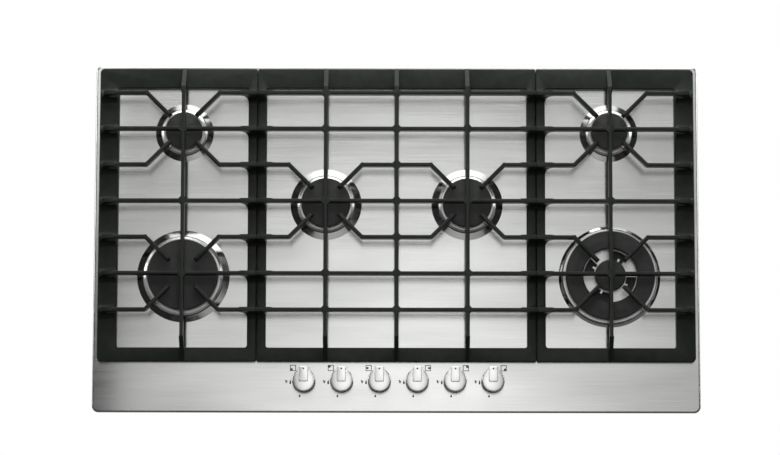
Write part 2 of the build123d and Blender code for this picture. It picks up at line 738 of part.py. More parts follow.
def make_gas_inlet():
    """Brass union in the rear wall: the rail ends inside, a male thread stands outside."""
    wall = CASING_DEPTH / 2
    pieces = [
        cylinder_y(RAIL_RIGHT, RAIL_Z, RAIL_END_Y, wall - SHEET, COLLAR_R),
        cylinder_y(RAIL_RIGHT, RAIL_Z, wall - SHEET - 1, wall + 1, THREAD_R),
        cylinder_y(RAIL_RIGHT, RAIL_Z, wall, wall + 2, COLLAR_R),
        cylinder_y(RAIL_RIGHT, RAIL_Z, wall + 1, THREAD_END_Y, THREAD_R),
    ]
    return joined(pieces) - cylinder_y(RAIL_RIGHT, RAIL_Z, RAIL_END_Y - 1, THREAD_END_Y + 1, UNION_BORE_R)


# ---------------------------------------------------------------- electrical pieces


def make_spark_generator():
    """Potted box with six outputs on its two ends."""
    return fillet(block(*GENERATOR).edges().filter_by(Axis.Z), 3)


def make_terminal_block():
    """Three-pole mains terminal block on the casing floor."""
    x_low, x_high, y_low, y_high, z_low, z_high = TERMINALS
    body = block(*TERMINALS)
    pitch = (x_high - x_low) / 3
    wells = [cylinder(x_low + pitch * (i + 0.5), (y_low + y_high) / 2, z_high - 6, z_high + 1, 3.2) for i in range(3)]
    grooves = [block(x_low + pitch * i - 0.8, x_low + pitch * i + 0.8, y_low - 1, y_high + 1, z_high - 4, z_high + 1)
               for i in (1, 2)]
    return body - (wells + grooves)


def make_cable_gland():
    """Gland for the mains cable in the rear wall."""
    wall = CASING_DEPTH / 2
    pieces = [
        cylinder_y(GLAND_X, GLAND_Z, wall - SHEET - 4, wall - SHEET, GLAND_BORE_R + 5),
        cylinder_y(GLAND_X, GLAND_Z, wall - SHEET - 1, wall + 1, GLAND_BORE_R + 3),
        cylinder_y(GLAND_X, GLAND_Z, wall, wall + 3, GLAND_BORE_R + 5),
        cylinder_y(GLAND_X, GLAND_Z, wall + 2, wall + 14, GLAND_BORE_R + 3),
    ]
    return joined(pieces) - cylinder_y(GLAND_X, GLAND_Z, wall - 20, wall + 20, GLAND_BORE_R)


def make_ignition_switches():
    """Harness strip with one switch box in front of each tap."""
    front = TAP_Y - TAP_R - 0.6
    pieces = [block(TAP_XS[0] - 9, TAP_XS[-1] + 9, front - 11, front - 8, -13, -9)]
    for x in TAP_XS:
        pieces.append(block(x - 7, x + 7, front - 10, front, -22, -8))
    return joined(pieces)


# ---------------------------------------------------------------- knobs


def make_knob_seal(x):
    """Rubber ring on the pan round the spindle, hidden in the knob's recess."""
    inner_r, outer_r, height = KNOB_SEAL
    return cylinder(x, TAP_Y, PAN_TOP, PAN_TOP + height, outer_r) - cylinder(x, TAP_Y, 0, 2 * CUP_TOP, inner_r)


def make_knob(x):
    """Round knob, its face slightly domed, with a raised grip bar that points to the rear when off."""
    edge = KNOB_FACE - KNOB_DOME
    outline = [
        (KNOB_BORE_R, KNOB_LOW),
        (KNOB_HUB_R, KNOB_LOW),
        (KNOB_HUB_R, KNOB_RECESS_TOP),
        (KNOB_RECESS_R, KNOB_RECESS_TOP),
        (KNOB_RECESS_R, KNOB_LOW),
        (KNOB_R, KNOB_LOW),
        (KNOB_R, edge - 1.4),
        (KNOB_R - 0.4, edge - 0.5),
        (KNOB_R - 1.4, edge),
        (0.7 * KNOB_R, KNOB_FACE - 0.56 * KNOB_DOME),
        (0.45 * KNOB_R, KNOB_FACE - 0.24 * KNOB_DOME),
        (0.2 * KNOB_R, KNOB_FACE - 0.05 * KNOB_DOME),
        (0, KNOB_FACE),
        (0, SPINDLE_TOP),
        (KNOB_BORE_R, SPINDLE_TOP),
    ]
    body = turned(x, TAP_Y, outline)
    grip = block(
        x - GRIP_WIDTH / 2, x + GRIP_WIDTH / 2, TAP_Y + GRIP_FRONT, TAP_Y + GRIP_REAR, edge - 1, KNOB_GRIP_TOP
    )
    grip = fillet(grip.edges().filter_by(Axis.Z), 2.0)
    grip = chamfer(grip.edges().group_by(Axis.Z)[-1], 0.8)
    flat = block(x - 4, x + 4, TAP_Y + SPINDLE_FLAT + 0.02, TAP_Y + KNOB_BORE_R + 0.5, KNOB_LOW, SPINDLE_TOP)
    return joined([body, grip, flat])


# ---------------------------------------------------------------- pan supports


def bar(start, end, tip=False):
    """Straight support bar with drafted sides and chamfered top edges; a tip slopes at its end."""
    span = Vector(*end) - Vector(*start)
    along = span.normalized()
    across = Vector(-along.Y, along.X, 0)
    half_low = BAR_LOW_WIDTH / 2
    half_top = BAR_TOP_WIDTH / 2
    outline = [
        (-half_low, BAR_LOW),
        (half_low, BAR_LOW),
        (half_top, BAR_TOP - BAR_CHAMFER),
        (half_top - BAR_CHAMFER, BAR_TOP),
        (BAR_CHAMFER - half_top, BAR_TOP),
        (-half_top, BAR_TOP - BAR_CHAMFER),
    ]
    plane = Plane(origin=(start[0], start[1], 0), x_dir=across, z_dir=along)
    prism = extrude(plane * make_face(Polyline(*outline, close=True)), amount=span.length)
    if not tip:
        return prism
    run, drop = TIP_SLOPE
    wedge = [(-run, BAR_TOP), (0, BAR_TOP - drop), (1, BAR_TOP - drop), (1, BAR_TOP + 1), (-run, BAR_TOP + 1)]
    return prism - upright(end, along, wedge, 2 * BAR_LOW_WIDTH)


def upright(place, along, outline, width):
    """Plate that stands in the vertical plane through a direction; outline is (distance, height)."""
    plane = Plane(origin=(place[0], place[1], 0), x_dir=along, z_dir=Vector(along.Y, -along.X, 0))
    return extrude(plane * make_face(Polyline(*outline, close=True)), amount=width / 2, both=True)


def leg(place, along, inner, top_end, low_end, hollow_r):
    """Leg from a bar's end down to the band: sloped or upright outside, hollow curve inside."""
    plane = Plane(origin=(place[0], place[1], 0), x_dir=along, z_dir=Vector(along.Y, -along.X, 0))
    curve_mid = (inner - hollow_r * (1 - cos(radians(45))), BAR_LOW - hollow_r * (1 - sin(radians(45))))
    curve_top = (inner - hollow_r, BAR_LOW)
    curve_low = (inner, BAR_LOW - hollow_r)
    straight = Polyline(
        curve_low, (inner, BAND_LOW), (low_end, BAND_LOW), (low_end, BAND_TOP), (top_end, BAR_TOP),
        (inner - hollow_r, BAR_TOP), curve_top,
    )
    outline = make_face(straight + ThreePointArc(curve_top, curve_mid, curve_low))
    return extrude(plane * outline, amount=LEG_WIDTH / 2, both=True)


def spread(x_low, x_high, y):
    """Hollow-curved ridge that spreads a side leg onto its band, in front and behind."""
    half = LEG_WIDTH / 2
    low = BAND_TOP - 1
    top = BAND_TOP + SPREAD
    ends = [(side * (half + SPREAD), BAND_TOP) for side in (-1, 1)]
    tops = [(side * half, top) for side in (-1, 1)]
    mids = [(side * (half + SPREAD / 3), BAND_TOP + SPREAD / 3) for side in (-1, 1)]
    outline = [
        Polyline(tops[0], tops[1]),
        ThreePointArc(tops[1], mids[1], ends[1]),
        Polyline(ends[1], (ends[1][0], low), (ends[0][0], low), ends[0]),
        ThreePointArc(ends[0], mids[0], tops[0]),
    ]
    plane = Plane(origin=(x_low + SPREAD_INSET, y, 0), x_dir=REAR, z_dir=RIGHT)
    return extrude(plane * make_face(outline), amount=x_high - x_low - 2 * SPREAD_INSET)


def lengthways_bar(x):
    """Bar along Y with its long rear slope and its shorter front slope."""
    rear_inner = FRAME_REAR_INNER + LEG_SETBACK
    front_inner = LEG_SETBACK - FRAME_FRONT_INNER
    return [
        bar((x, FRONT_HOLLOW_R - front_inner), (x, rear_inner - REAR_HOLLOW_R)),
        leg((x, 0), REAR, rear_inner, REAR_SLOPE_TOP, FRAME_REAR, REAR_HOLLOW_R),
        leg((x, 0), FRONT, front_inner, FRONT_SLOPE_TOP, -FRAME_FRONT - 1, FRONT_HOLLOW_R),
    ]


def knot(x, y):
    """Small square set cornerwise that thickens a crossing."""
    return Pos(x, y, (BAR_LOW + BAR_TOP) / 2) * Rot(0, 0, 45) * Box(KNOT_SIDE, KNOT_SIDE, BAR_TOP - BAR_LOW)


def fingers(x, y, sides):
    """Bent fingers over one burner: out from its diagonals, then sideways to a given X."""
    pieces = []
    for side, reach in sides:
        for front_rear in (-1, 1):
            bend = (x + side * FINGER_BEND, y + front_rear * FINGER_BEND)
            tip = (x + side * FINGER_TIP, y + front_rear * FINGER_TIP)
            pieces.append(bar(bend, tip, tip=True))
            pieces.append(bar((reach, bend[1]), bend))
            pieces.append(Pos(*bend, (BAR_LOW + BAR_TOP) / 2) * Cylinder(BAR_TOP_WIDTH / 2 + 0.3, BAR_TOP - BAR_LOW))
    return pieces


def band_frame(x_low, x_high, x_low_inner, x_high_inner, outer_corners):
    """Low closed frame of flat bands; outer_corners says which X side is the hob's outer edge."""
    width = x_high - x_low
    depth = FRAME_REAR - FRAME_FRONT
    outer = Pos((x_low + x_high) / 2, (FRAME_REAR + FRAME_FRONT) / 2) * Rectangle(width, depth)
    corners = outer.vertices().sort_by(Axis.X)
    radii = {
        "none": (SEAM_CORNER_R, SEAM_CORNER_R),
        "low": (FRAME_CORNER_R, SEAM_CORNER_R),
        "high": (SEAM_CORNER_R, FRAME_CORNER_R),
    }[outer_corners]
    outer = fillet(corners[:2], radii[0])
    outer = fillet(outer.vertices().group_by(Axis.X)[-1], radii[1])
    window = Pos((x_low_inner + x_high_inner) / 2, (FRAME_REAR_INNER + FRAME_FRONT_INNER) / 2) * RectangleRounded(
        x_high_inner - x_low_inner, FRAME_REAR_INNER - FRAME_FRONT_INNER, SEAM_CORNER_R + 1
    )
    band = Pos(0, 0, BAND_LOW) * extrude(outer - window, amount=BAND_TOP - BAND_LOW)
    return chamfer(band.edges().group_by(Axis.Z)[-1], BAND_CHAMFER)


def make_side_support(side):
    """Pan support over a rear and a front burner. side is -1 for the left, 1 for the right."""
    seam = SPLIT_X + SPLIT_GAP / 2
    inner_band = seam + INNER_BAND
    hollow = SIDE_HOLLOW_R
    outer_dir, inner_dir = (RIGHT, LEFT) if side > 0 else (LEFT, RIGHT)
    pieces = [band_frame(seam, SIDE_OUTER_X, inner_band, SIDE_BAND_X, "high")]
    if side < 0:
        pieces = [mirror(pieces[0], Plane.YZ)]
    finger_ys = [MIDDLE_Y + BAR_PITCH * k for k in (3, 1, -1, -3)]
    for y in BAR_YS:
        pieces.append(leg((0, y), outer_dir, OUTER_LEG_INNER, OUTER_SLOPE_TOP, OUTER_SLOPE_LOW, hollow))
        pieces.append(leg((0, y), inner_dir, -inner_band, -seam, -seam, hollow))
        for band in ((seam, inner_band), (SIDE_BAND_X, SIDE_OUTER_X)):
            pieces.append(spread(*sorted(side * x for x in band), y))
        if y not in finger_ys:
            ends = (side * (inner_band + hollow), y), (side * (OUTER_LEG_INNER - hollow), y)
            pieces.append(bar(*ends))
            pieces.append(knot(side * SIDE_X, y))
    reaches = [(side, side * (OUTER_LEG_INNER - hollow)), (-side, side * (inner_band + hollow))]
    for y in (REAR_Y, FRONT_Y):
        pieces += fingers(side * SIDE_X, y, reaches)
    pieces += lengthways_bar(side * SIDE_X)
    return joined(pieces)


def make_centre_support():
    """Wide pan support over the two middle burners."""
    seam = SPLIT_X - SPLIT_GAP / 2
    inner_band = seam - INNER_BAND
    hollow = SIDE_HOLLOW_R
    pieces = [band_frame(-seam, seam, -inner_band, inner_band, "none")]
    finger_ys = (MIDDLE_Y + BAR_PITCH, MIDDLE_Y - BAR_PITCH)
    for y in BAR_YS:
        pieces.append(leg((0, y), RIGHT, inner_band, seam, seam, hollow))
        pieces.append(leg((0, y), LEFT, inner_band, seam, seam, hollow))
        pieces += [spread(inner_band, seam, y), spread(-seam, -inner_band, y)]
        if y not in finger_ys:
            pieces.append(bar((-inner_band + hollow, y), (inner_band - hollow, y)))
            pieces += [knot(-CENTRE_X, y), knot(CENTRE_X, y)]
        pieces.append(knot(0, y))
    for side in (-1, 1):
        pieces += fingers(side * CENTRE_X, MIDDLE_Y, [(side, side * (inner_band - hollow)), (-side, 0)])
    for x in (-CENTRE_X, 0, CENTRE_X):
        pieces += lengthways_bar(x)
    return joined(pieces)


def make_feet(x_low, x_high):
    """Four rubber feet under the corners of a support's frame."""
    feet = []
    for x in (x_low, x_high):
        for y in (FRAME_FRONT + FOOT_FRONT_INSET, FRAME_REAR - FOOT_REAR_INSET):
            feet.append(cylinder(x, y, PAN_TOP, BAND_LOW, FOOT_R))
    return group(feet)


def main():
    os.makedirs("parts", exist_ok=True)
    taps = list(zip(TAP_ORDER, TAP_XS))

    write("top_pan", make_top_pan())
    write("bottom_casing", make_bottom_casing())
    write("worktop_seal", make_worktop_seal())
    write("clamp_brackets", make_clamp_brackets())
    write("fixing_screws", make_fixing_screws())

    write("aux_burner_rings", group([make_ring("rear_left"), make_ring("rear_right")]))
    write("semi_burner_rings", group([make_ring("centre_left"), make_ring("centre_right")]))
    write("rapid_burner_ring", make_ring("front_left"))
    write("triple_burner_ring", make_ring("front_right"))
    write("burner_cups", group([make_cup(name) for name in BURNERS]))
    write("gas_jets", group([make_jet(name) for name in BURNERS]))
    write("spark_electrodes", group([make_electrode(name) for name in BURNERS]))
    write("thermocouples", group([make_thermocouple(name, x) for name, x in taps]))
    write("ignition_leads", group([make_spark_lead(name) for name in BURNERS]))
    for name, (kind, _, _) in BURNERS.items():
        if kind == "triple":
            write(f"crown_{name}", make_triple_crown(name))
            write(f"cap_{name}_outer", make_outer_cap(name))
            write(f"cap_{name}_inner", make_inner_cap(name))
        else:
            write(f"crown_{name}", make_crown(name))
            write(f"cap_{name}", make_cap(name))

    write("gas_rail", make_gas_rail())
    write("tap_bodies", group([make_tap_body(x) for x in TAP_XS]))
    write("feed_tubes", group([make_feed_tube(name, x) for name, x in taps]))
    write("gas_inlet_union", make_gas_inlet())
    write("spark_generator", make_spark_generator())
    write("mains_terminal_block", make_terminal_block())
    write("cable_gland", make_cable_gland())
    write("ignition_switches", make_ignition_switches())
    write("knob_seals", group([make_knob_seal(x) for x in TAP_XS]))
    for number, x in enumerate(TAP_XS, start=1):
        write(f"tap_plug_{number}", make_tap_plug(x))
        write(f"spindle_{number}", make_spindle(x))
        write(f"knob_{number}", make_knob(x))

    side_foot = SPLIT_X + INNER_BAND / 2
    outer_foot = SIDE_OUTER_X - FOOT_SIDE_INSET
    centre_foot = SPLIT_X - INNER_BAND / 2
    write("pan_support_left", make_side_support(-1))
    write("pan_support_centre", make_centre_support())
    write("pan_support_right", make_side_support(1))
    write("feet_left", make_feet(-outer_foot, -side_foot))
    write("feet_centre", make_feet(-centre_foot, centre_foot))
    write("feet_right", make_feet(side_foot, outer_foot))


main()
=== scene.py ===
from math import cos, pi, radians, sin

import bmesh
import bpy
from mathutils import Matrix, Vector


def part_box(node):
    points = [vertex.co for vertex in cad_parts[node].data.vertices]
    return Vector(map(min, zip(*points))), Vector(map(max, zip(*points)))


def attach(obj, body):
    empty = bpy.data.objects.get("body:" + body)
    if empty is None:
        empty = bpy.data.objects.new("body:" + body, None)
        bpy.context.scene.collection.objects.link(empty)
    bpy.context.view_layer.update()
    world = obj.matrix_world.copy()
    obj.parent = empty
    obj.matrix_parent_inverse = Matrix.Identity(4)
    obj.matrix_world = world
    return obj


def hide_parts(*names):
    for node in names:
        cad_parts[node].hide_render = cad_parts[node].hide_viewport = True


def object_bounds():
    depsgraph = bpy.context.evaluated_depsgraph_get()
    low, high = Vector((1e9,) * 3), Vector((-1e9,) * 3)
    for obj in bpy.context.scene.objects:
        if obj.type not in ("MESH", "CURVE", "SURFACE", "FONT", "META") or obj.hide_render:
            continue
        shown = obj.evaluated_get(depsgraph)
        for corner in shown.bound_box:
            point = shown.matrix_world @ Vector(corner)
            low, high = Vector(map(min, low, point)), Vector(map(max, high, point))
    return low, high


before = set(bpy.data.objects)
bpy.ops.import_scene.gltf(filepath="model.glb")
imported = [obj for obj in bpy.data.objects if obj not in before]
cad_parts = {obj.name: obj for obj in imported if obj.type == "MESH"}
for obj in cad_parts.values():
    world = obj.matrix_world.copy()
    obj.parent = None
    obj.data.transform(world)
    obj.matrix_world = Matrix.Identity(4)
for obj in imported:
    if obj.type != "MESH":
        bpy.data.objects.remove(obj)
CAD_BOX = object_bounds()

bl_info = {
    "name": "Gas Cooktop",
    "version": (1, 0, 0),
    "blender": (4, 5, 0),
    "location": "View3D > Sidebar > Cooktop",
    "description": "Finishes, knobs, printed marks and studio for a six-burner gas cooktop",
    "category": "Object",
}

MM = 0.001
PAN_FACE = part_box("top_pan")[1].z / MM

# The row of taps: the Y of their axes and the X of each, in millimetres
TAP_Y = -214.0
TAP_XS = [3.0 + 56.0 * (i - 2.5) for i in range(6)]

# The bars across the pan supports, and the webs on the seam-side feet of the two side supports: the X of
# the band's inner edge, how deep a web is rooted in the band, how far it runs out under its bar, how far it
# spreads to each side at the band, its half width under the bar, its foot and height, and its levels
BAR_YS = [50.0 + 54.0 * k for k in (3, 2, 1, 0, -1, -2, -3)]
FOOT_X = 221.2
WEB_ROOT = 1.0
WEB_REACH = 16.0
WEB_SPREAD = 6.0
WEB_HALF = 3.1
WEB_FOOT = 17.5
WEB_HEIGHT = 25.0
WEB_LEVELS = 12

# Knobs: the underside of the skirt, its top inside the satin cap, and the foot and top of the grip bar
SKIRT_LOW = 12.6
SKIRT_TOP = 26.0
GRIP_FOOT = 27.9
GRIP_TOP = 35.5
GRIP_CORNER = 2.0
GRIP_RIM = 0.8

# Printed marks: their thickness, the position square's distance from its knob's axis, and its dot
INK = 0.04
SQUARE_X = 15.9
SQUARE_Y = 19.7
DOT_R = 1.7

# Where each knob's burner lies in its position square, from the square's centre, in half squares
MARK_PLACES = ((-0.5, -0.5), (-0.5, 0.5), (-0.45, 0.0), (0.45, 0.0), (0.5, 0.5), (0.5, -0.5))

# Softboxes, in metres: name, place, the point it faces, size, setting with its power, hot spot on its
# face, reach of the fade from the hot spot, and level outside the fade
SOFTBOXES = (
    ("softbox_over", (0.08, 0.25, 1.6), (0.08, 0.25, 0), (1.26, 2.4),
     "over_power", (-0.06, -0.4), (0.31, 0.41), 0.3),
    ("softbox_rear", (0.0, 1.35, 1.45), (0.0, 0.1, 0), (1.7, 1.1),
     "rear_power", (0.0, 0.0), (0.9, 0.9), 0.0),
    ("softbox_back", (0.0, 1.5, 0.42), (0.0, 0.1, 0.0), (2.2, 0.5),
     "back_power", (0.0, 0.0), (1.5, 1.5), 0.0),
    ("softbox_left", (-2.3, 0.7, 0.6), (-0.2, 0, 0), (1.2, 0.8),
     "fill_power", (0.0, 0.0), (1.5, 1.5), 0.0),
    ("softbox_corner_left", (-0.52, 0.54, 1.6), (-0.52, 0.54, 0), (0.5, 0.7),
     "corner_power", (0.0, 0.0), (0.16, 0.2), 0.0),
    ("softbox_right", (2.3, 0.7, 0.6), (0.2, 0, 0), (1.2, 0.8),
     "fill_power", (0.0, 0.0), (1.5, 1.5), 0.0),
    ("softbox_corner_right", (0.52, 0.54, 1.6), (0.52, 0.54, 0), (0.5, 0.7),
     "corner_power", (0.0, 0.0), (0.16, 0.2), 0.0),
)


# ---------------------------------------------------------------- small tools


def linear(colour):
    """sRGB hex, such as "a0b1c2", as a linear RGBA value."""
    parts = [int(colour[i : i + 2], 16) / 255 for i in (0, 2, 4)]
    return [c / 12.92 if c <= 0.04045 else ((c + 0.055) / 1.055) ** 2.4 for c in parts] + [1.0]


def cells(x, y, z):
    """Mapping scale that makes one unit of a pattern the given size in millimetres along X, Y and Z."""
    return (1 / (x * MM), 1 / (y * MM), 1 / (z * MM))


def add_node(tree, kind, sockets, **settings):
    """Adds a node with its settings; each socket takes a value, or a link from a node or a socket."""
    node = tree.nodes.new("ShaderNode" + kind)
    for name, value in settings.items():
        setattr(node, name, value)
    for name, value in sockets.items():
        source = value.outputs[0] if isinstance(value, bpy.types.Node) else value
        if isinstance(source, bpy.types.NodeSocket):
            tree.links.new(source, node.inputs[name])
        else:
            node.inputs[name].default_value = source
    return node


def new_finish(name):
    """An empty material, its tree and its Object coordinates."""
    material = bpy.data.materials.new(name)
    material.use_nodes = True
    tree = material.node_tree
    tree.nodes.clear()
    return material, tree, add_node(tree, "TexCoord", {}).outputs["Object"]


def paint(node, finish_name):
    """Gives a CAD node its finish."""
    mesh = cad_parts[node].data
    mesh.materials.clear()
    mesh.materials.append(finish(finish_name))


def piece(name, shape, finish_name, body, angle=35):
    """A finished piece from a bmesh, in place, riding on its body."""
    mesh = bpy.data.meshes.new(name)
    shape.to_mesh(mesh)
    shape.free()
    mesh.materials.append(finish(finish_name))
    mesh.shade_smooth()
    mesh.set_sharp_from_angle(angle=radians(angle))
    thing = bpy.data.objects.new(name, mesh)
    bpy.context.scene.collection.objects.link(thing)
    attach(thing, body)
    return thing


def turned(shape, outline, x, y, steps=96):
    """Adds a solid turned about an upright axis, from (radius, height) in millimetres."""
    points = [shape.verts.new((r * MM, 0, z * MM)) for r, z in outline]
    edges = [shape.edges.new(pair) for pair in zip(points, points[1:])]
    if outline[0][0] > 0:
        edges.append(shape.edges.new((points[-1], points[0])))
    before = set(shape.verts)
    bmesh.ops.spin(
        shape, geom=points + edges, axis=(0, 0, 1), cent=(0, 0, 0), angle=2 * pi, steps=steps, use_merge=True
    )
    made = points + [v for v in shape.verts if v not in before]
    bmesh.ops.translate(shape, verts=made, vec=(x * MM, y * MM, 0))
    return made


def closed(shape):
    """Merges doubles and turns the faces outwards."""
    bmesh.ops.remove_doubles(shape, verts=shape.verts, dist=1e-6)
    bmesh.ops.recalc_face_normals(shape, faces=shape.faces)
    return shape


def raised(shape, faces, height):
    """Raises flat faces into a plate of the given height in millimetres; returns its top edges."""
    grown = bmesh.ops.extrude_face_region(shape, geom=faces)["geom"]
    tops = [v for v in grown if isinstance(v, bmesh.types.BMVert)]
    bmesh.ops.translate(shape, verts=tops, vec=(0, 0, height * MM))
    return [e for e in grown if isinstance(e, bmesh.types.BMEdge)]


def plate(shape, x, y, z, width, depth, height):
    """Adds a flat rectangular plate centred on (x, y), standing on z; returns its top edges."""
    place = Matrix.Translation((x * MM, y * MM, z * MM)) @ Matrix.Diagonal((width * MM, depth * MM, 1, 1))
    corners = bmesh.ops.create_grid(shape, x_segments=1, y_segments=1, size=0.5, matrix=place)["verts"]
    return raised(shape, list(corners[0].link_faces), height)


def mark(shape, outline, x, y, width, depth, height):
    """Adds a printed mark with the given outline, which is drawn in a square of one unit."""
    corners = [(x + px * width, y + py * depth) for px, py in outline]
    points = [shape.verts.new((px * MM, py * MM, PAN_FACE * MM)) for px, py in corners]
    raised(shape, [shape.faces.new(points)], height)


def dot(shape, x, y, radius, steps, height):
    """Adds a printed round dot."""
    place = Matrix.Translation((x * MM, y * MM, PAN_FACE * MM))
    ring = bmesh.ops.create_circle(shape, cap_ends=True, segments=steps, radius=radius * MM, matrix=place)
    raised(shape, list(ring["verts"][0].link_faces), height)


# ---------------------------------------------------------------- finishes


def brushed_steel(look):
    """Austenitic stainless sheet, belt-brushed along X.

    It gives long fine streaks along X, and reflections that are drawn out along Y and stay crisp along X.
    """
    material, tree, place = new_finish("brushed_stainless_steel")
    # Real brush lines lie 0.1 to 0.3 mm apart; these are drawn 0.9 mm wide so that they show
    lines = add_node(tree, "Mapping", {"Vector": place, "Scale": cells(120, 0.9, 4)})
    streaks = add_node(tree, "TexNoise", {"Vector": lines, "Scale": 1.0, "Detail": 4.0, "Roughness": 0.7})
    # Rolling leaves broad cloudy bands, about 60 mm across
    bands = add_node(tree, "Mapping", {"Vector": place, "Scale": cells(260, 60, 60)})
    clouds = add_node(tree, "TexNoise", {"Vector": bands, "Scale": 1.0, "Detail": 2.0})
    tone = add_node(tree, "Math", {0: streaks, 1: 0.8, 2: clouds}, operation="MULTIPLY_ADD")
    level = add_node(tree, "MapRange", {"Value": tone, "From Min": 0.6, "From Max": 1.2})
    colour = add_node(tree, "Mix", {0: level, 6: look.steel_dark, 7: look.steel}, data_type="RGBA")
    low, high = look.steel_roughness - 0.03, look.steel_roughness + 0.03
    gloss = add_node(
        tree, "MapRange", {"Value": streaks, "From Min": 0.3, "From Max": 0.7, "To Min": low, "To Max": high}
    )
    across = add_node(tree, "CombineXYZ", {"Y": 1.0})
    relief = add_node(tree, "Bump", {"Height": streaks, "Distance": 0.004 * MM})
    shader = add_node(
        tree,
        "BsdfPrincipled",
        {
            "Base Color": colour.outputs[2],
            "Metallic": 1.0,
            "Roughness": gloss,
            "Anisotropic": look.steel_brushing,
            "Tangent": across,
            "Normal": relief,
        },
    )
    add_node(tree, "OutputMaterial", {"Surface": shader})
    return material


def cast_enamel(look):
    """Matt vitreous enamel fired on sand-cast iron.

    It gives an almost black, faintly green surface, pebbled by the casting, with a soft sheen on edges.
    The fine pits trap light, so its mirror part is weaker than that of smooth enamel.
    """
    material, tree, place = new_finish("enamelled_cast_iron")
    # Sand-cast grain under the enamel is about 0.9 mm across
    sand = add_node(tree, "Mapping", {"Vector": place, "Scale": cells(0.9, 0.9, 0.9)})
    grain = add_node(tree, "TexNoise", {"Vector": sand, "Scale": 1.0, "Detail": 4.0, "Roughness": 0.65})
    # The enamel's thickness wanders over about 14 mm
    coat = add_node(tree, "Mapping", {"Vector": place, "Scale": cells(14, 14, 14)})
    wander = add_node(tree, "TexNoise", {"Vector": coat, "Scale": 1.0, "Detail": 2.0})
    level = add_node(tree, "MapRange", {"Value": wander, "From Min": 0.3, "From Max": 0.7})
    colour = add_node(tree, "Mix", {0: level, 6: look.iron, 7: look.iron_light}, data_type="RGBA")
    gloss = add_node(
        tree, "MapRange", {"Value": grain, "From Min": 0.3, "From Max": 0.7, "To Min": 0.36, "To Max": 0.5}
    )
    relief = add_node(tree, "Bump", {"Height": grain, "Distance": 0.06 * MM, "Strength": 0.6})
    shader = add_node(
        tree,
        "BsdfPrincipled",
        {
            "Base Color": colour.outputs[2],
            "Roughness": gloss,
            "Specular IOR Level": 0.22,
            "Normal": relief,
        },
    )
    add_node(tree, "OutputMaterial", {"Surface": shader})
    return material


def cap_enamel(look):
    """Matt black enamel on pressed steel caps.

    It gives a smooth, dry, very low gloss, with faint brown-grey heat clouds.
    """
    material, tree, place = new_finish("matt_black_enamel")
    # Enamel grit is about 0.5 mm across, heat clouds about 11 mm
    grit = add_node(tree, "Mapping", {"Vector": place, "Scale": cells(0.5, 0.5, 0.5)})
    grain = add_node(tree, "TexNoise", {"Vector": grit, "Scale": 1.0, "Detail": 3.0})
    heat = add_node(tree, "Mapping", {"Vector": place, "Scale": cells(11, 11, 11)})
    wander = add_node(tree, "TexNoise", {"Vector": heat, "Scale": 1.0, "Detail": 3.0})
    level = add_node(tree, "MapRange", {"Value": wander, "From Min": 0.3, "From Max": 0.7})
    colour = add_node(tree, "Mix", {0: level, 6: look.cap, 7: look.cap_light}, data_type="RGBA")
    gloss = add_node(
        tree, "MapRange", {"Value": grain, "From Min": 0.3, "From Max": 0.7, "To Min": 0.5, "To Max": 0.66}
    )
    relief = add_node(tree, "Bump", {"Height": grain, "Distance": 0.02 * MM, "Strength": 0.5})
    shader = add_node(
        tree,
        "BsdfPrincipled",
        {"Base Color": colour.outputs[2], "Roughness": gloss, "Specular IOR Level": 0.35, "Normal": relief},
    )
    add_node(tree, "OutputMaterial", {"Surface": shader})
    return material


def galvanised_sheet(look):
    """Hot-dip galvanised sheet.

    It gives a grey, semi-bright surface with 12 mm crystal spangle.
    """
    material, tree, place = new_finish("galvanised_steel_sheet")
    spangle = add_node(tree, "Mapping", {"Vector": place, "Scale": cells(12, 12, 12)})
    crystals = add_node(tree, "TexVoronoi", {"Vector": spangle, "Scale": 1.0})
    level = add_node(tree, "SeparateColor", {"Color": crystals.outputs["Color"]})
    colour = add_node(
        tree, "Mix", {0: level, 6: linear("94999b"), 7: linear("b7bbbd")}, data_type="RGBA"
    )
    gloss = add_node(tree, "MapRange", {"Value": level, "To Min": 0.34, "To Max": 0.5})
    shader = add_node(
        tree, "BsdfPrincipled", {"Base Color": colour.outputs[2], "Metallic": 1.0, "Roughness": gloss}
    )
    add_node(tree, "OutputMaterial", {"Surface": shader})
    return material


def worked_metal(name, base, dark, roughness, grain_mm, depth_mm):
    """Bare or plated metal: cloudy colour, and grain of the given size and depth in its gloss and relief."""
    material, tree, place = new_finish(name)
    grit = add_node(tree, "Mapping", {"Vector": place, "Scale": cells(grain_mm, grain_mm, grain_mm)})
    grain = add_node(tree, "TexNoise", {"Vector": grit, "Scale": 1.0, "Detail": 4.0})
    level = add_node(tree, "MapRange", {"Value": grain, "From Min": 0.3, "From Max": 0.7})
    colour = add_node(tree, "Mix", {0: level, 6: linear(dark), 7: linear(base)}, data_type="RGBA")
    gloss = add_node(
        tree, "MapRange", {"Value": level, "To Min": roughness - 0.05, "To Max": roughness + 0.06}
    )
    relief = add_node(tree, "Bump", {"Height": grain, "Distance": depth_mm * MM, "Strength": 0.4})
    shader = add_node(
        tree,
        "BsdfPrincipled",
        {"Base Color": colour.outputs[2], "Metallic": 1.0, "Roughness": gloss, "Normal": relief},
    )
    add_node(tree, "OutputMaterial", {"Surface": shader})
    return material


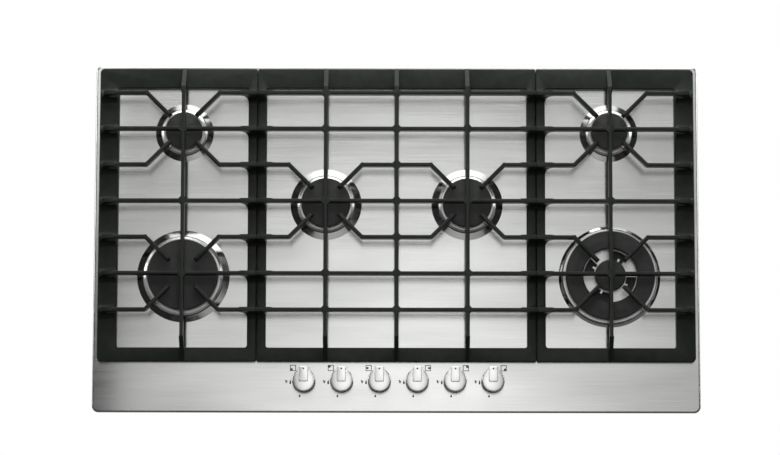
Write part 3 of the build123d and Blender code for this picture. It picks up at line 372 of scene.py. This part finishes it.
def moulded(name, base, light, roughness, grain_mm, depth_mm, coat=0.0, specular=0.5):
    """Moulded or fired non-metal: even colour, and grain of the given size and depth.

    coat is the weight of a glaze, and specular the strength of the mirror part, 0.5 where it is plain.
    """
    material, tree, place = new_finish(name)
    grit = add_node(tree, "Mapping", {"Vector": place, "Scale": cells(grain_mm, grain_mm, grain_mm)})
    grain = add_node(tree, "TexNoise", {"Vector": grit, "Scale": 1.0, "Detail": 3.0})
    level = add_node(tree, "MapRange", {"Value": grain, "From Min": 0.3, "From Max": 0.7})
    colour = add_node(tree, "Mix", {0: level, 6: linear(base), 7: linear(light)}, data_type="RGBA")
    gloss = add_node(
        tree, "MapRange", {"Value": level, "To Min": roughness - 0.06, "To Max": roughness + 0.06}
    )
    relief = add_node(tree, "Bump", {"Height": grain, "Distance": depth_mm * MM, "Strength": 0.5})
    shader = add_node(
        tree,
        "BsdfPrincipled",
        {
            "Base Color": colour.outputs[2],
            "Roughness": gloss,
            "Specular IOR Level": specular,
            "Coat Weight": coat,
            "Normal": relief,
        },
    )
    add_node(tree, "OutputMaterial", {"Surface": shader})
    return material


# Each finish by its slot's name: the real material's name, and what makes it
FINISHES = {
    "pan_steel": ("brushed_stainless_steel", brushed_steel),
    "cast_iron_enamel": ("enamelled_cast_iron", cast_enamel),
    "black_enamel": ("matt_black_enamel", cap_enamel),
    "casing_steel": ("galvanised_steel_sheet", galvanised_sheet),
    # Deep-drawn and polished: sharp dark and bright reflections
    "polished_ring": (
        "polished_stainless_ring",
        lambda look: worked_metal("polished_stainless_ring", "b4b5b3", "a8a9a7", 0.13, 9.0, 0.002),
    ),
    # Die-cast, machined on top: bright and satin
    "cast_aluminium": (
        "machined_cast_aluminium",
        lambda look: worked_metal("machined_cast_aluminium", "dedfdd", "cccdcb", 0.3, 0.7, 0.02),
    ),
    # Die-cast and left raw inside the burner wells: dull, darkened by heat
    "as_cast_aluminium": (
        "as_cast_aluminium",
        lambda look: worked_metal("as_cast_aluminium", "6f706e", "565755", 0.5, 1.2, 0.04),
    ),
    # Die-cast zinc with a satin chrome plate: pale, soft reflections, fine grit
    "knob_satin": (
        "satin_chrome_plate",
        lambda look: worked_metal("satin_chrome_plate", "f4f4f3", "ececeb", 0.28, 0.6, 0.012),
    ),
    # Zinc plate on turned and bent steel: bluish grey, semi-bright
    "plated_steel": (
        "zinc_plated_steel",
        lambda look: worked_metal("zinc_plated_steel", "c4c6c6", "aeb1b2", 0.3, 2.0, 0.01),
    ),
    # Drawn soft tube: pale, faintly hazy
    "tube_aluminium": (
        "drawn_aluminium_tube",
        lambda look: worked_metal("drawn_aluminium_tube", "d5d6d4", "c2c4c2", 0.34, 3.0, 0.01),
    ),
    # Turned and hot-pressed brass: warm yellow, satin
    "brass": (
        "turned_brass",
        lambda look: worked_metal("turned_brass", "d8b66a", "c39d52", 0.3, 2.5, 0.01),
    ),
    # Drawn copper, lightly tarnished
    "copper": (
        "drawn_copper",
        lambda look: worked_metal("drawn_copper", "d98c66", "bf744f", 0.32, 3.0, 0.01),
    ),
    # Closed-cell foam: dull grey, pitted
    "seal_foam": (
        "closed_cell_foam",
        lambda look: moulded("closed_cell_foam", "5a5c5a", "747673", 0.9, 0.8, 0.2),
    ),
    # Glazed alumina: off-white, glossy
    "ceramic": (
        "glazed_alumina",
        lambda look: moulded("glazed_alumina", "efe9dc", "f6f2e8", 0.28, 1.5, 0.01, coat=0.3),
    ),
    # Moulded nitrile rubber: black, dull
    "rubber": (
        "nitrile_rubber",
        lambda look: moulded("nitrile_rubber", "1b1b1b", "262626", 0.7, 0.6, 0.03),
    ),
    # Extruded silicone sleeve: milky, soft sheen
    "silicone": (
        "silicone_sleeve",
        lambda look: moulded("silicone_sleeve", "d9d4c8", "e6e1d6", 0.55, 1.2, 0.02),
    ),
    # Glass-filled nylon: near black, fine matt texture
    "black_plastic": (
        "glass_filled_nylon",
        lambda look: moulded("glass_filled_nylon", "1c1d1e", "27282a", 0.48, 0.5, 0.02),
    ),
    # Skirt moulded in textured nylon, dead matt: its near-black colour and weak mirror part are painted
    # shade for the shaded side of the knob below the satin cap
    "knob_skirt_painted_shade": (
        "black_nylon",
        lambda look: moulded("black_nylon", "0b0b0b", "121212", 0.75, 0.5, 0.01, specular=0.12),
    ),
    # Moulded polyamide housing: warm white, fine matt texture
    "white_plastic": (
        "white_polyamide",
        lambda look: moulded("white_polyamide", "e4e3de", "eeeeea", 0.42, 0.5, 0.02),
    ),
    # Screen-printed ceramic ink: dark grey, thin, slightly glossy
    "printed_ink": (
        "printed_ink",
        lambda look: moulded("printed_ink", "262826", "3a3c3a", 0.42, 0.4, 0.004),
    ),
}


def finish(name):
    """One of the cooktop's finishes, made the first time it is asked for."""
    material_name, make = FINISHES[name]
    return bpy.data.materials.get(material_name) or make(bpy.context.scene.cooktop_look)


# ---------------------------------------------------------------- shapes


def softened_casting(node, width):
    """A cast copy of a CAD node, with its edges and inner corners rounded."""
    shape = bmesh.new()
    shape.from_mesh(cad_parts[node].data)
    bmesh.ops.remove_doubles(shape, verts=shape.verts, dist=2e-6)
    bmesh.ops.dissolve_limit(
        shape, angle_limit=radians(1.0), verts=shape.verts, edges=shape.edges, use_dissolve_boundaries=False
    )
    sharp = [e for e in shape.edges if len(e.link_faces) == 2 and e.calc_face_angle(0) > radians(20)]
    bmesh.ops.bevel(
        shape, geom=sharp, offset=width, segments=2, profile=0.5, affect="EDGES", material=-1,
        clamp_overlap=True,
    )
    return shape


def foot_web(shape, side, y):
    """Adds the web that flares a leg's foot onto the seam-side band of a side support.

    It is raised level by level in a cube of one unit, and each level is then put in its real place, along
    a quarter circle that hollows the web's front and sides.
    """
    foot = bmesh.ops.create_grid(shape, x_segments=1, y_segments=1, size=0.5)["verts"]
    made, top = list(foot), list(foot[0].link_faces)
    for level in range(WEB_LEVELS):
        grown = bmesh.ops.extrude_face_region(shape, geom=top)["geom"]
        if level:
            bmesh.ops.delete(shape, geom=top, context="FACES_ONLY")
        top = [part for part in grown if isinstance(part, bmesh.types.BMFace)]
        rising = [part for part in grown if isinstance(part, bmesh.types.BMVert)]
        bmesh.ops.translate(shape, verts=rising, vec=(0, 0, 1 / WEB_LEVELS))
        made += rising
    for vert in made:
        turn = vert.co.z * pi / 2
        out = WEB_REACH * (1 - cos(turn)) if vert.co.x > 0 else -WEB_ROOT
        width = 2 * (WEB_HALF + WEB_SPREAD * (1 - sin(turn)) ** 2)
        vert.co.x = side * (FOOT_X + out) * MM
        vert.co.y = (y + vert.co.y * width) * MM
        vert.co.z = (WEB_FOOT + WEB_HEIGHT * sin(turn)) * MM
    corners = set(made)
    shape.normal_update()
    bmesh.ops.recalc_face_normals(shape, faces=[face for face in shape.faces if face.verts[0] in corners])


def knob_shape(x, look):
    """Satin cap of a knob: slightly domed face, raised grip bar, and the hub on the spindle."""
    outline = [
        (0, 30.0), (4.0, 29.93), (8.0, 29.72), (12.0, 29.36), (15.2, 28.96), (16.0, 28.75), (16.55, 28.35),
        (16.88, 27.8), (17.0, 27.1), (17.0, 26.2), (16.4, SKIRT_TOP), (16.4, 23.0), (6.9, 23.0),
        (6.5, 22.6), (6.5, SKIRT_LOW), (3.02, SKIRT_LOW), (3.02, 26.0), (0, 26.0),
    ]
    shape = bmesh.new()
    turned(shape, outline, x, TAP_Y, 128)
    front, rear = look.grip_front / MM, look.grip_rear / MM
    middle = TAP_Y + (front + rear) / 2
    top = plate(shape, x, middle, GRIP_FOOT, look.grip_width / MM, rear - front, GRIP_TOP - GRIP_FOOT)
    bar_faces = {face for edge in top for face in edge.link_faces}
    corners = {
        edge for face in bar_faces for edge in face.edges
        if abs(edge.verts[0].co.z - edge.verts[1].co.z) > 5 * MM
    }
    bmesh.ops.bevel(
        shape, geom=list(corners), offset=GRIP_CORNER * MM, segments=5, profile=0.5, affect="EDGES",
        material=-1,
    )
    rim = [edge for edge in shape.edges if all(v.co.z > (GRIP_TOP - 0.01) * MM for v in edge.verts)]
    bmesh.ops.bevel(
        shape, geom=rim, offset=GRIP_RIM * MM, segments=3, profile=0.5, affect="EDGES", material=-1
    )
    return closed(shape)


def skirt_shape(x):
    """Skirt round a knob's side, which stands clear of the pan; its black finish is painted shade for the
    knob's shaded side.
    """
    outline = [
        (16.4, 23.0), (16.4, SKIRT_TOP), (16.8, SKIRT_TOP), (17.0, 25.8), (17.0, 13.4), (16.8, 12.8),
        (16.3, SKIRT_LOW), (14.6, SKIRT_LOW), (14.1, 12.9), (14.0, 13.3), (14.0, 23.0),
    ]
    shape = bmesh.new()
    turned(shape, outline, x, TAP_Y, 128)
    return closed(shape)


def drop_mark(x, y):
    """Drop-shaped pointer printed on a grip bar, its point to the rear."""
    shape = bmesh.new()
    ring = bmesh.ops.create_circle(shape, cap_ends=True, segments=24, radius=1.4 * MM)["verts"]
    for vert in ring:
        vert.co.y *= 1.1
        if vert.co.y > 0:
            vert.co.x *= 1 - vert.co.y / (1.6 * MM)
    raised(shape, shape.faces[:], 0.06)
    bmesh.ops.translate(shape, verts=shape.verts, vec=(x * MM, y * MM, (GRIP_TOP - 0.04) * MM))
    return closed(shape)


FLAME = ((0.0, -0.5), (0.2, -0.44), (0.3, -0.24), (0.27, -0.02), (0.16, 0.2), (0.08, 0.5), (-0.05, 0.3),
         (-0.1, 0.1), (-0.18, 0.16), (-0.28, -0.06), (-0.28, -0.28), (-0.18, -0.44))
SPARK = ((-0.5, 0.3), (-0.05, 0.5), (0.02, 0.16), (0.5, 0.3), (0.12, -0.1), (0.2, -0.5), (-0.1, -0.18),
         (-0.4, -0.36), (-0.18, 0.04))


# ---------------------------------------------------------------- settings


def colour_setting(name, description, colour):
    """A colour setting that starts from an sRGB hex value."""
    return bpy.props.FloatVectorProperty(
        name=name, description=description, subtype="COLOR", size=4, min=0, max=1, default=linear(colour)
    )


class CooktopLook(bpy.types.PropertyGroup):
    """Sizes, colours and finishes of the cooktop."""

    steel: colour_setting("Steel", "Brushed steel sheet, its lighter streaks", "dedfdd")
    steel_dark: colour_setting("Steel, dark", "Brushed steel sheet, its darker streaks", "c2c3c1")
    steel_roughness: bpy.props.FloatProperty(
        name="Steel roughness", description="Softness of the steel's reflections", default=0.17,
        min=0.05, max=0.9,
    )
    steel_brushing: bpy.props.FloatProperty(
        name="Steel brushing", description="How far the brushing draws reflections out", default=0.9,
        min=0, max=1,
    )
    iron: colour_setting("Iron", "Enamel on the pan supports", "181d18")
    iron_light: colour_setting("Iron, thin coat", "Enamel on the pan supports where it is thin", "202620")
    cap: colour_setting("Caps", "Enamel on the burner caps", "282a28")
    cap_light: colour_setting(
        "Caps, heat clouds", "Enamel on the burner caps where heat has worked", "323431"
    )
    edge_round: bpy.props.FloatProperty(
        name="Casting edge", description="Rounding of the cast edges", default=0.9 * MM, unit="LENGTH"
    )
    grip_width: bpy.props.FloatProperty(
        name="Grip width", description="Width of a knob's grip bar", default=13.4 * MM, unit="LENGTH"
    )
    grip_front: bpy.props.FloatProperty(
        name="Grip front", description="Front end of the grip bar, from the knob's axis", default=-2.4 * MM,
        unit="LENGTH"
    )
    grip_rear: bpy.props.FloatProperty(
        name="Grip rear", description="Rear end of the grip bar, from the knob's axis", default=20.0 * MM,
        unit="LENGTH"
    )
    square_size: bpy.props.FloatProperty(
        name="Square", description="Side of a burner position square", default=7.9 * MM, unit="LENGTH"
    )
    square_line: bpy.props.FloatProperty(
        name="Square line", description="Line width of a burner position square", default=1.0 * MM,
        unit="LENGTH",
    )


class CooktopStudio(bpy.types.PropertyGroup):
    """Camera and lights."""

    over_power: bpy.props.FloatProperty(
        name="Overhead", description="Power of the overhead softbox", default=13.4, unit="POWER"
    )
    rear_power: bpy.props.FloatProperty(
        name="Rear", description="Power of the high rear softbox", default=17.0, unit="POWER"
    )
    back_power: bpy.props.FloatProperty(
        name="Back", description="Power of the low softbox behind the hob", default=24.0, unit="POWER"
    )
    fill_power: bpy.props.FloatProperty(
        name="Fill", description="Power of each low softbox at the sides", default=14.0, unit="POWER"
    )
    corner_power: bpy.props.FloatProperty(
        name="Corners", description="Power of each small softbox above a rear corner", default=1.5,
        unit="POWER",
    )
    lens: bpy.props.FloatProperty(name="Lens", description="Focal length in millimetres", default=153.95)
    tilt: bpy.props.FloatProperty(
        name="Tilt", description="Camera's angle from straight down", default=radians(8.133), subtype="ANGLE"
    )
    roll: bpy.props.FloatProperty(
        name="Roll", description="Camera's roll", default=radians(0.1), subtype="ANGLE"
    )
    height: bpy.props.FloatProperty(
        name="Height", description="Camera above the worktop", default=4.9243, unit="LENGTH"
    )


# ---------------------------------------------------------------- operators


class COOKTOP_OT_studio(bpy.types.Operator):
    """Set the floor, the soft lights and the camera"""

    bl_idname = "cooktop.studio"
    bl_label = "Studio"

    def execute(self, context):
        studio = context.scene.cooktop_studio
        self.make_floor(context)
        for name, place, target, size, power, hot_spot, fade, base in SOFTBOXES:
            lamp = self.make_softbox(name, size, getattr(studio, power), hot_spot, fade, base)
            lamp.location = place
            lamp.rotation_euler = (Vector(target) - Vector(place)).to_track_quat("-Z", "Y").to_euler()
            context.scene.collection.objects.link(lamp)
        self.make_air(context)
        self.make_camera(context, studio)
        context.scene.view_settings.view_transform = "Standard"
        return {"FINISHED"}

    def make_floor(self, context):
        """Pale floor: white to the camera, and a plain grey card to the light that reaches the cooktop."""
        floor = bmesh.new()
        bmesh.ops.create_circle(floor, cap_ends=True, segments=96, radius=9.0)
        bmesh.ops.translate(floor, verts=floor.verts, vec=(0, 0, CAD_BOX[0].z - 0.0005))
        mesh = bpy.data.meshes.new("floor")
        floor.to_mesh(mesh)
        floor.free()
        material, tree, place = new_finish("pale_floor")
        # The sweep behind the hob is white, and the card in front and at the sides is grey
        depth = add_node(tree, "SeparateXYZ", {"Vector": place})
        rear = add_node(
            tree, "MapRange", {"Value": depth.outputs["Y"], "From Min": 0.2, "From Max": 0.35}
        )
        shade = add_node(tree, "Mix", {0: rear, 6: linear("666666"), 7: linear("f2f2f2")}, data_type="RGBA")
        card = add_node(tree, "BsdfDiffuse", {"Color": shade.outputs[2]})
        glow = add_node(tree, "Emission", {"Color": linear("ffffff"), "Strength": 1.0})
        ray = add_node(tree, "LightPath", {})
        mix = add_node(tree, "MixShader", {0: ray.outputs["Is Camera Ray"], 1: card, 2: glow})
        add_node(tree, "OutputMaterial", {"Surface": mix})
        mesh.materials.append(material)
        ground = bpy.data.objects.new("floor", mesh)
        context.scene.collection.objects.link(ground)

    def make_softbox(self, name, size, power, hot_spot, fade, base):
        """Area light that fades out smoothly from a hot spot to a base level."""
        light = bpy.data.lights.new(name, "AREA")
        light.shape = "RECTANGLE"
        light.size, light.size_y = size
        light.energy = power
        light.use_nodes = True
        tree = light.node_tree
        tree.nodes.clear()
        middle = [0.5 + spot / side for spot, side in zip(hot_spot, size)] + [0]
        spread = [side / reach for side, reach in zip(size, fade)] + [0]
        spot = add_node(tree, "NewGeometry", {}).outputs["Parametric"]
        shifted = add_node(tree, "VectorMath", {0: spot, 1: middle}, operation="SUBTRACT")
        scaled = add_node(tree, "VectorMath", {0: shifted, 1: spread}, operation="MULTIPLY")
        square = add_node(tree, "VectorMath", {0: scaled, 1: scaled}, operation="DOT_PRODUCT")
        falling = add_node(tree, "Math", {0: square.outputs["Value"], 1: -0.5}, operation="MULTIPLY")
        faded = add_node(tree, "Math", {0: falling}, operation="EXPONENT")
        level = add_node(tree, "MapRange", {"Value": faded, "To Min": base})
        glow = add_node(tree, "Emission", {"Color": (1, 1, 1, 1), "Strength": level})
        add_node(tree, "OutputLight", {"Surface": glow})
        return bpy.data.objects.new(name, light)

    def make_air(self, context):
        """Studio air: white to the camera; in reflections, pale walls below a dark ceiling."""
        world = bpy.data.worlds.new("studio_air")
        context.scene.world = world
        world.use_nodes = True
        tree = world.node_tree
        tree.nodes.clear()
        seen = add_node(tree, "Background", {"Color": linear("ffffff"), "Strength": 1.0})
        direction = add_node(tree, "TexCoord", {}).outputs["Generated"]
        rise = add_node(tree, "SeparateXYZ", {"Vector": direction})
        walls = add_node(
            tree,
            "MapRange",
            {"Value": rise.outputs["Z"], "From Min": 0.66, "From Max": 0.5, "To Min": 0.03, "To Max": 0.22},
        )
        lit = add_node(tree, "Background", {"Color": linear("ffffff"), "Strength": walls})
        ray = add_node(tree, "LightPath", {})
        mix = add_node(tree, "MixShader", {0: ray.outputs["Is Camera Ray"], 1: lit, 2: seen})
        add_node(tree, "OutputWorld", {"Surface": mix})

    def make_camera(self, context, studio):
        """Long lens in front of the hob, looking almost straight down."""
        lens = bpy.data.cameras.new("camera")
        lens.lens = studio.lens
        lens.sensor_width = 36.0
        lens.clip_end = 50.0
        camera = bpy.data.objects.new("camera", lens)
        turn = Matrix.Rotation(studio.tilt, 4, "X") @ Matrix.Rotation(studio.roll, 4, "Z")
        camera.matrix_world = Matrix.Translation((-0.0097, -0.6867, studio.height)) @ turn
        context.scene.collection.objects.link(camera)
        context.scene.camera = camera


class COOKTOP_OT_pan(bpy.types.Operator):
    """Finish the pressed top pan"""

    bl_idname = "cooktop.pan"
    bl_label = "Top pan"

    def execute(self, context):
        paint("top_pan", "pan_steel")
        return {"FINISHED"}


class COOKTOP_OT_supports(bpy.types.Operator):
    """Cast the three pan supports and finish their feet"""

    bl_idname = "cooktop.supports"
    bl_label = "Pan supports"

    def execute(self, context):
        look = context.scene.cooktop_look
        for side in ("left", "centre", "right"):
            node = f"pan_support_{side}"
            shape = softened_casting(node, look.edge_round)
            if side != "centre":
                for y in BAR_YS:
                    foot_web(shape, -1 if side == "left" else 1, y)
            finish_name = "cast_iron_enamel"
            casting = piece(f"{node}_casting", shape, finish_name, f"support_{side}")
            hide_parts(node)
            paint(f"feet_{side}", "rubber")
        return {"FINISHED"}


class COOKTOP_OT_burners(bpy.types.Operator):
    """Finish the rings, cups, crowns, caps, jets and probes"""

    bl_idname = "cooktop.burners"
    bl_label = "Burners"

    def execute(self, context):
        for ring in ("aux_burner_rings", "semi_burner_rings", "rapid_burner_ring", "triple_burner_ring"):
            paint(ring, "polished_ring")
        paint("burner_cups", "as_cast_aluminium")
        paint("gas_jets", "brass")
        paint("spark_electrodes", "ceramic")
        paint("thermocouples", "copper")
        paint("ignition_leads", "silicone")
        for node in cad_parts:
            if node.startswith("crown_"):
                paint(node, "cast_aluminium")
            elif node.startswith("cap_"):
                paint(node, "black_enamel")
        return {"FINISHED"}


class COOKTOP_OT_knobs(bpy.types.Operator):
    """Make the six knobs with their grip bars and marks"""

    bl_idname = "cooktop.knobs"
    bl_label = "Knobs"

    def execute(self, context):
        look = context.scene.cooktop_look
        for number, x in enumerate(TAP_XS, start=1):
            body = f"knob_{number}"
            knob = piece(f"{body}_turned", knob_shape(x, look), "knob_satin", body)
            # The skirt's near-black finish is painted shade for the knob's shaded side
            piece(f"{body}_skirt", skirt_shape(x), "knob_skirt_painted_shade", body)
            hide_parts(body)
            piece(f"{body}_mark", drop_mark(x, TAP_Y + 16.6), "printed_ink", body)
            paint(f"spindle_{number}", "plated_steel")
            paint(f"tap_plug_{number}", "brass")
        paint("knob_seals", "rubber")
        return {"FINISHED"}


class COOKTOP_OT_marks(bpy.types.Operator):
    """Print the generic burner, spark and flame marks beside the knobs"""

    bl_idname = "cooktop.marks"
    bl_label = "Printed marks"

    def execute(self, context):
        look = context.scene.cooktop_look
        side, line = look.square_size / MM, look.square_line / MM
        ink = bmesh.new()
        for number, (x, place) in enumerate(zip(TAP_XS, MARK_PLACES)):
            square_x = x + (-SQUARE_X if number < 3 else SQUARE_X)
            square_y = TAP_Y + SQUARE_Y
            for end in (-0.5, 0.5):
                plate(ink, square_x, square_y + end * side, PAN_FACE, side + line, line, INK)
                plate(ink, square_x + end * side, square_y, PAN_FACE, line, side - line, INK)
            dot(ink, square_x + place[0] * side / 2, square_y + place[1] * side / 2, DOT_R, 20, INK)
            mark(ink, SPARK, x - 25.4, TAP_Y - 0.8, 5.2, 6.0, INK)
            mark(ink, FLAME, x - 19.8, TAP_Y - 0.8, 4.4, 7.6, INK)
            mark(ink, FLAME, x - 6.0, TAP_Y - 21.4, 4.6, 4.6, INK)
            dot(ink, x + 8.6, TAP_Y + 20.0, 0.55, 16, INK)
        piece("printed_marks", closed(ink), "printed_ink", "hob_body")
        return {"FINISHED"}


class COOKTOP_OT_underside(bpy.types.Operator):
    """Finish the casing, seal, fixings, gas supply and wiring"""

    bl_idname = "cooktop.underside"
    bl_label = "Underside"

    def execute(self, context):
        for node, finish_name in (
            ("bottom_casing", "casing_steel"),
            ("worktop_seal", "seal_foam"),
            ("clamp_brackets", "plated_steel"),
            ("fixing_screws", "plated_steel"),
            ("gas_rail", "plated_steel"),
            ("tap_bodies", "brass"),
            ("feed_tubes", "tube_aluminium"),
            ("gas_inlet_union", "brass"),
            ("spark_generator", "white_plastic"),
            ("mains_terminal_block", "white_plastic"),
            ("cable_gland", "black_plastic"),
            ("ignition_switches", "black_plastic"),
        ):
            paint(node, finish_name)
        return {"FINISHED"}


class COOKTOP_PT_sidebar(bpy.types.Panel):
    """Lists the cooktop's operators and settings"""

    bl_label = "Gas cooktop"
    bl_idname = "COOKTOP_PT_sidebar"
    bl_space_type = "VIEW_3D"
    bl_region_type = "UI"
    bl_category = "Cooktop"

    def draw(self, context):
        for operator in OPERATORS:
            self.layout.operator(operator.bl_idname)
        for settings in (context.scene.cooktop_look, context.scene.cooktop_studio):
            for name in settings.__annotations__:
                self.layout.prop(settings, name)


OPERATORS = (
    COOKTOP_OT_studio,
    COOKTOP_OT_pan,
    COOKTOP_OT_supports,
    COOKTOP_OT_burners,
    COOKTOP_OT_knobs,
    COOKTOP_OT_marks,
    COOKTOP_OT_underside,
)
CLASSES = (CooktopLook, CooktopStudio) + OPERATORS + (COOKTOP_PT_sidebar,)


def register():
    for cls in CLASSES:
        bpy.utils.register_class(cls)
    bpy.types.Scene.cooktop_look = bpy.props.PointerProperty(type=CooktopLook)
    bpy.types.Scene.cooktop_studio = bpy.props.PointerProperty(type=CooktopStudio)


def unregister():
    del bpy.types.Scene.cooktop_look
    del bpy.types.Scene.cooktop_studio
    for cls in reversed(CLASSES):
        bpy.utils.unregister_class(cls)


def main():
    register()
    for operator in OPERATORS:
        group, name = operator.bl_idname.split(".")
        getattr(getattr(bpy.ops, group), name)()


if __name__ == "__main__":
    main()
